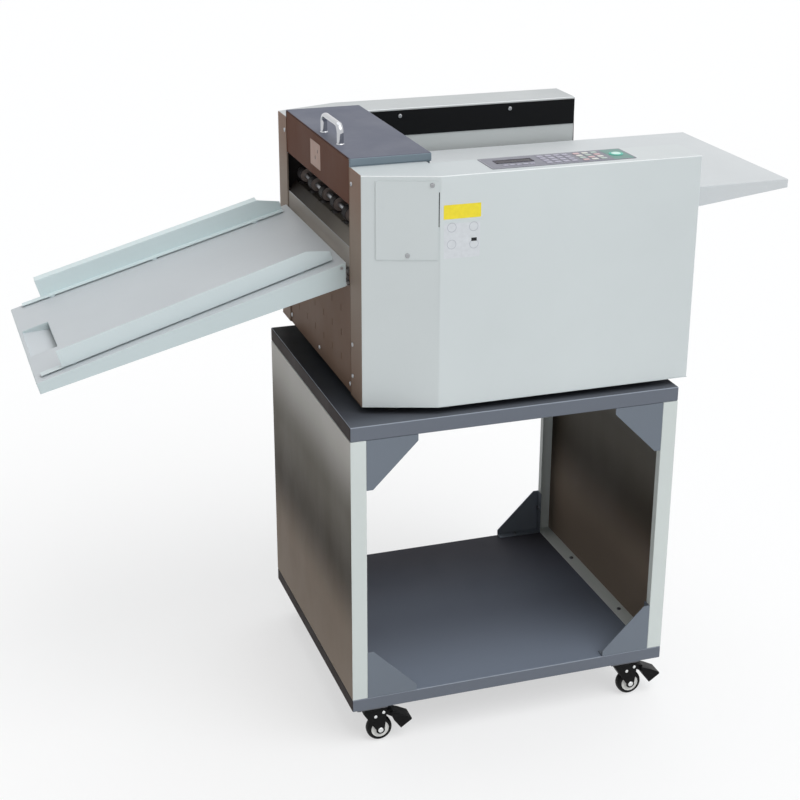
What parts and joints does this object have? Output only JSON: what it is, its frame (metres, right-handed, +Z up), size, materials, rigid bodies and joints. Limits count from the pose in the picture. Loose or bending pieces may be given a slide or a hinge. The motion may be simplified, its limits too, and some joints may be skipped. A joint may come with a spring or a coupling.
{
  "type": "desktop paper creasing machine",
  "caption": "Paper creasing machine with a hinged lid, side housings, feed table and sloping delivery tray, on an open sheet-metal stand with braked castors.",
  "frame": {"origin": "on the floor under the middle of the whole object, from the delivery tray's end to the feed table's end", "axes": "+X from the delivery tray towards the feed table, +Y from the operator's side towards the rear, +Z up"},
  "size_m": [1.4252, 0.6579, 1.147],
  "materials": {
    "stand_dark": "satin slate powder coat",
    "stand_light": "satin warm grey powder coat",
    "cover_paint": "fine-textured light grey powder coat",
    "end_paint": "satin taupe powder coat",
    "black_paint": "satin black",
    "lid_paint": "satin mid grey powder coat",
    "table_paint": "satin off-white powder coat",
    "tray_paint": "satin pale grey powder coat",
    "zinc": "bright zinc plate",
    "castor_black": "black moulded plastic",
    "wheel_rubber": "grey-black rubber tyre",
    "foot_rubber": "black rubber",
    "roller_rubber": "ground black rubber",
    "frame_steel": "milled steel",
    "beam_alloy": "milled aluminium",
    "chrome": "polished chrome",
    "overlay": "printed membrane",
    "display": "dark glossy window",
    "motor_paint": "black enamel",
    "board": "green circuit board",
    "inlet_plastic": "black moulded plastic",
    "switch_plastic": "dark red moulded plastic"
  },
  "bodies": {
    "machine": {"stand_deck": "stand_dark", "stand_shelf": "stand_dark", "stand_left_panel": "stand_light", "stand_right_panel": "stand_light", "corner_gussets": "stand_dark", "stand_screws": "zinc", "castor_plates": "zinc", "base_pan": "frame_steel", "machine_feet": "foot_rubber", "near_frame": "frame_steel", "rear_frame": "frame_steel", "cross_bars": "frame_steel", "near_cover": "cover_paint", "rear_cover": "cover_paint", "delivery_panel": "end_paint", "feed_end_panel": "cover_paint", "black_panel": "black_paint", "die_access_plate": "cover_paint", "cover_screws": "zinc", "feed_table": "table_paint", "control_panel": "overlay", "display_window": "display", "lid_hinge_pins": "zinc", "paper_guides": "frame_steel", "crease_anvil": "frame_steel", "crease_guides": "beam_alloy", "crease_motor": "motor_paint", "drive_motor": "motor_paint", "timing_belt": "foot_rubber", "circuit_board": "board", "power_inlet": "inlet_plastic", "tray_brackets": "zinc"},
    "lid": {"lid": "lid_paint", "lid_handle": "chrome"},
    "tray": {"tray_pan": "tray_paint", "tray_guide_near": "tray_paint", "tray_guide_rear": "tray_paint"},
    "exit_upper": {"exit_upper_shaft": "frame_steel", "exit_upper_rollers": "roller_rubber"},
    "exit_lower": {"exit_lower_shaft": "frame_steel", "exit_lower_rollers": "roller_rubber"},
    "feed_upper": {"feed_upper_roller": "frame_steel"},
    "feed_lower": {"feed_lower_roller": "frame_steel"},
    "motor_rotor": {"motor_pulley": "beam_alloy"},
    "cam_shaft": {"crease_shaft": "frame_steel"},
    "crease_head": {"crease_beam": "beam_alloy", "crease_blade": "frame_steel"},
    "rocker": {"power_switch": "switch_plastic"},
    "castor_front_left": {"castor_fork_front_left": "castor_black"},
    "wheel_front_left": {"castor_wheel_front_left": "wheel_rubber"},
    "pedal_front_left": {"castor_pedal_front_left": "castor_black"},
    "castor_front_right": {"castor_fork_front_right": "castor_black"},
    "wheel_front_right": {"castor_wheel_front_right": "wheel_rubber"},
    "pedal_front_right": {"castor_pedal_front_right": "castor_black"},
    "castor_rear_left": {"castor_fork_rear_left": "castor_black"},
    "wheel_rear_left": {"castor_wheel_rear_left": "wheel_rubber"},
    "pedal_rear_left": {"castor_pedal_rear_left": "castor_black"},
    "castor_rear_right": {"castor_fork_rear_right": "castor_black"},
    "wheel_rear_right": {"castor_wheel_rear_right": "wheel_rubber"},
    "pedal_rear_right": {"castor_pedal_rear_right": "castor_black"}
  },
  "joints": [
    {"name": "lid_hinge", "type": "hinge", "parent": "machine", "child": "lid", "pos_m": [-0.01443, 0.0055, 1.085], "axis": [0, 1, 0], "range_deg": [0, 95]},
    {"name": "tray_pivot", "type": "hinge", "parent": "machine", "child": "tray", "pos_m": [-0.17043, 0.0055, 0.91202], "axis": [0, 1, 0], "range_deg": [0, 40]},
    {"name": "castor_swivel_front_left", "type": "hinge", "parent": "machine", "child": "castor_front_left", "pos_m": [-0.15543, -0.3055, 0.07], "axis": [0, 0, 1], "continuous": true},
    {"name": "wheel_spin_front_left", "type": "hinge", "parent": "castor_front_left", "child": "wheel_front_left", "pos_m": [-0.13743, -0.3055, 0.025], "axis": [0, 1, 0], "continuous": true},
    {"name": "brake_pedal_front_left", "type": "hinge", "parent": "castor_front_left", "child": "pedal_front_left", "pos_m": [-0.13143, -0.3055, 0.063], "axis": [0, 1, 0], "range_deg": [0, 10]},
    {"name": "castor_swivel_front_right", "type": "hinge", "parent": "machine", "child": "castor_front_right", "pos_m": [0.36957, -0.3055, 0.07], "axis": [0, 0, 1], "continuous": true},
    {"name": "wheel_spin_front_right", "type": "hinge", "parent": "castor_front_right", "child": "wheel_front_right", "pos_m": [0.38757, -0.3055, 0.025], "axis": [0, 1, 0], "continuous": true},
    {"name": "brake_pedal_front_right", "type": "hinge", "parent": "castor_front_right", "child": "pedal_front_right", "pos_m": [0.39357, -0.3055, 0.063], "axis": [0, 1, 0], "range_deg": [0, 10]},
    {"name": "castor_swivel_rear_left", "type": "hinge", "parent": "machine", "child": "castor_rear_left", "pos_m": [-0.15543, 0.2105, 0.07], "axis": [0, 0, 1], "continuous": true},
    {"name": "wheel_spin_rear_left", "type": "hinge", "parent": "castor_rear_left", "child": "wheel_rear_left", "pos_m": [-0.13743, 0.2105, 0.025], "axis": [0, 1, 0], "continuous": true},
    {"name": "brake_pedal_rear_left", "type": "hinge", "parent": "castor_rear_left", "child": "pedal_rear_left", "pos_m": [-0.13143, 0.2105, 0.063], "axis": [0, 1, 0], "range_deg": [0, 10]},
    {"name": "castor_swivel_rear_right", "type": "hinge", "parent": "machine", "child": "castor_rear_right", "pos_m": [0.36957, 0.2105, 0.07], "axis": [0, 0, 1], "continuous": true},
    {"name": "wheel_spin_rear_right", "type": "hinge", "parent": "castor_rear_right", "child": "wheel_rear_right", "pos_m": [0.38757, 0.2105, 0.025], "axis": [0, 1, 0], "continuous": true},
    {"name": "brake_pedal_rear_right", "type": "hinge", "parent": "castor_rear_right", "child": "pedal_rear_right", "pos_m": [0.39357, 0.2105, 0.063], "axis": [0, 1, 0], "range_deg": [0, 10]},
    {"name": "exit_lower_spin", "type": "hinge", "parent": "machine", "child": "exit_lower", "pos_m": [-0.12543, 0.0055, 0.956], "axis": [0, 1, 0], "continuous": true},
    {"name": "exit_upper_spin", "type": "hinge", "parent": "machine", "child": "exit_upper", "pos_m": [-0.12543, 0.0055, 0.984], "axis": [0, 1, 0], "continuous": true},
    {"name": "feed_lower_spin", "type": "hinge", "parent": "machine", "child": "feed_lower", "pos_m": [-0.02343, 0.0055, 0.99], "axis": [0, 1, 0], "continuous": true},
    {"name": "feed_upper_spin", "type": "hinge", "parent": "machine", "child": "feed_upper", "pos_m": [-0.02343, 0.0055, 1.018], "axis": [0, 1, 0], "continuous": true},
    {"name": "motor_spin", "type": "hinge", "parent": "machine", "child": "motor_rotor", "pos_m": [-0.05643, 0.0055, 0.874], "axis": [0, 1, 0], "continuous": true},
    {"name": "crease_turn", "type": "hinge", "parent": "machine", "child": "cam_shaft", "pos_m": [-0.07043, 0.0055, 1.06], "axis": [0, 1, 0], "range_deg": [0, 180]},
    {"name": "crease_press", "type": "slide", "parent": "machine", "child": "crease_head", "axis": [0, 0, -1], "range_m": [0, 0.006]},
    {"name": "switch_rock", "type": "hinge", "parent": "machine", "child": "rocker", "pos_m": [0.39557, 0.3245, 0.734], "axis": [1, 0, 0], "range_deg": [0, 16]}
  ],
  "couplings": [
    {"joint": "exit_upper_spin", "follows": "exit_lower_spin", "ratio": -1},
    {"joint": "feed_lower_spin", "follows": "exit_lower_spin", "ratio": 1},
    {"joint": "feed_upper_spin", "follows": "exit_lower_spin", "ratio": -1},
    {"joint": "motor_spin", "follows": "exit_lower_spin", "ratio": 1},
    {"joint": "crease_turn", "follows": "crease_press", "rad_per_m": 523.6}
  ]
}
